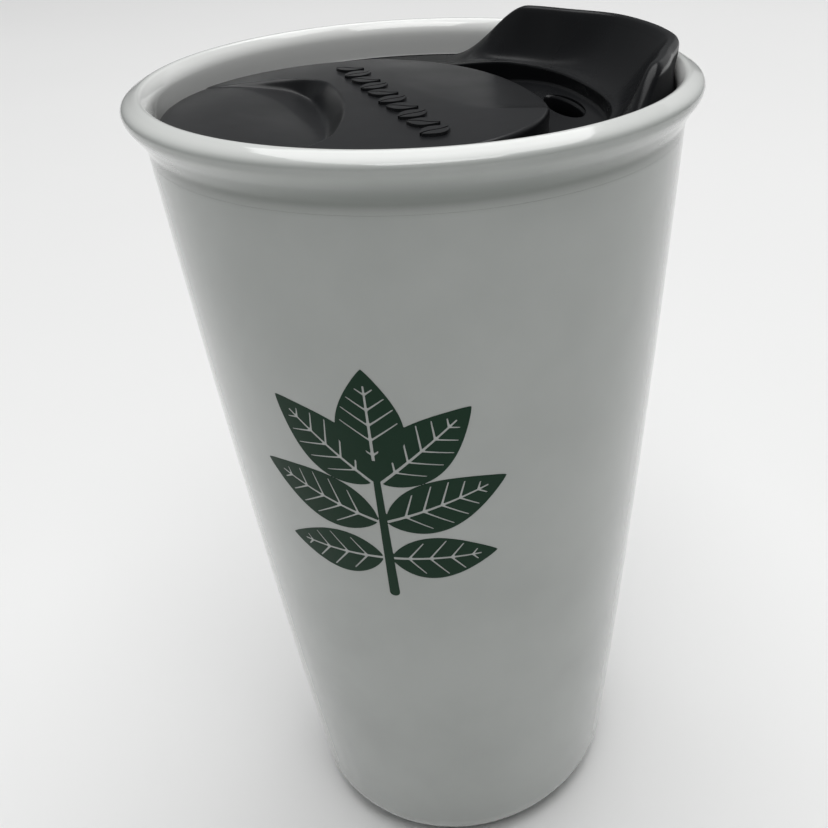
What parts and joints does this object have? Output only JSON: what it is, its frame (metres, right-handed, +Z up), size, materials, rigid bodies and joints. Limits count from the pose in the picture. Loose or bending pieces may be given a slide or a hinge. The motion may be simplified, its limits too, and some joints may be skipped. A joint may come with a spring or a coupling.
{
  "type": "travel tumbler",
  "caption": "Tapered double-wall ceramic drinking tumbler with a rolled rim and a press-in plastic lid that has a raised mouthpiece, a drink hole and a sliding closure with a thumb scoop.",
  "frame": {"origin": "centre of the standing ring under the mug, on the table", "axes": "+Z up along the mug's axis, +X from the axis towards the lid's mouthpiece, and the lid is symmetric about the XZ plane"},
  "size_m": [0.0932, 0.0932, 0.1535],
  "materials": {
    "glaze": "gloss",
    "print_green": "gloss",
    "lid_black": "satin",
    "slider_black": "satin",
    "clip_black": "satin",
    "silicone_dark": "matte",
    "silicone_light": "matte"
  },
  "bodies": {
    "mug": {"outer_shell": "glaze", "inner_liner": "glaze", "foot_plug": "silicone_light"},
    "lid": {"lid_body": "lid_black", "lid_gasket": "silicone_dark"},
    "slider": {"slider_cover": "slider_black", "slider_clip": "clip_black", "sip_seal": "silicone_dark", "vent_seal": "silicone_dark"}
  },
  "joints": [
    {"name": "lid_lift", "type": "slide", "parent": "mug", "child": "lid", "axis": [0, 0, 1], "range_m": [0, 0.045]},
    {"name": "closure_slide", "type": "slide", "parent": "lid", "child": "slider", "axis": [1, 0, 0], "range_m": [0, 0.0102]}
  ]
}
